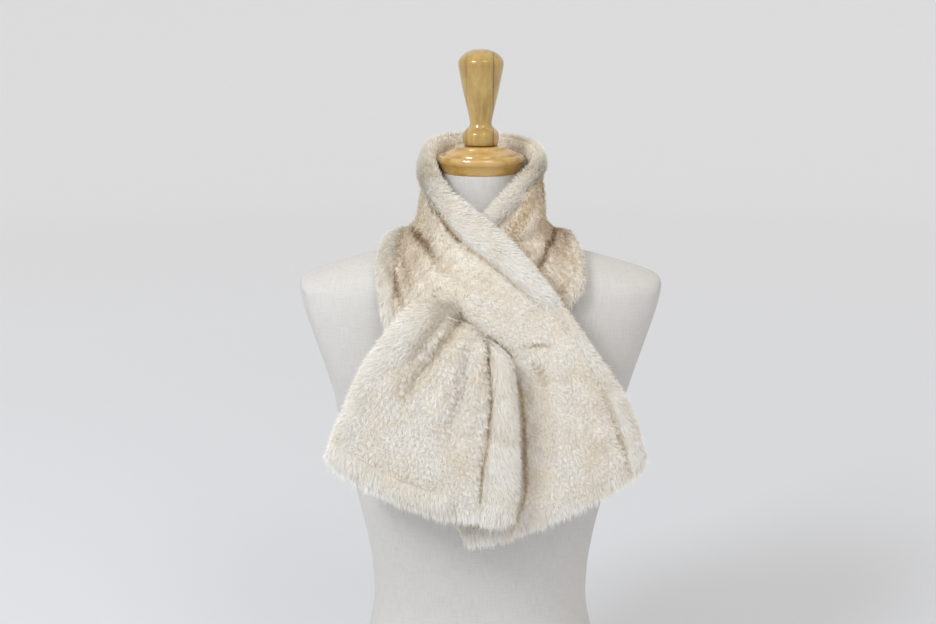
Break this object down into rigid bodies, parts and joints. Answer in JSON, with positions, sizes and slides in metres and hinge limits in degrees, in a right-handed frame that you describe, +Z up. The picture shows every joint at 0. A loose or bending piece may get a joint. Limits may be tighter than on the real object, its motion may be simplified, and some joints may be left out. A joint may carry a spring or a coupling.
{
  "type": "fur scarf on dress form",
  "caption": "Knitted fur pull-through scarf worn crossed at the chest of a limbless linen dress form with a turned wooden neck cap and knob; it stands on its flat underside.",
  "frame": {"origin": "centre of the bounding box's underside, on the surface that the form stands on", "axes": "+Z up; the form's front, where the scarf crosses, faces -Y; +X is the viewer's right"},
  "size_m": [0.378, 0.2688, 0.773],
  "materials": {
    "linen": "fine plain-weave linen, matt, pale grey-beige",
    "varnished_wood": "turned hardwood, clear gloss varnish",
    "knitted_fur": "knitted strips of cream fur, soft tufts in many directions",
    "fur_border": "plain cream fur strip, sleek, hairs lying outwards"
  },
  "bodies": {
    "root": {"form_torso": "linen", "neck_cap": "varnished_wood", "neck_knob": "varnished_wood", "left_collar_knit": "knitted_fur", "left_collar_upper_border": "fur_border", "left_collar_lower_border": "fur_border", "front_panel_knit": "knitted_fur", "front_panel_upper_border": "fur_border", "front_panel_lower_border": "fur_border", "front_panel_hem": "fur_border", "right_collar_knit": "knitted_fur", "right_collar_upper_border": "fur_border", "right_collar_lower_border": "fur_border", "pulled_fan_knit": "knitted_fur", "pulled_fan_left_border": "fur_border", "pulled_fan_right_border": "fur_border", "pulled_fan_hem": "fur_border"}
  },
  "joints": []
}
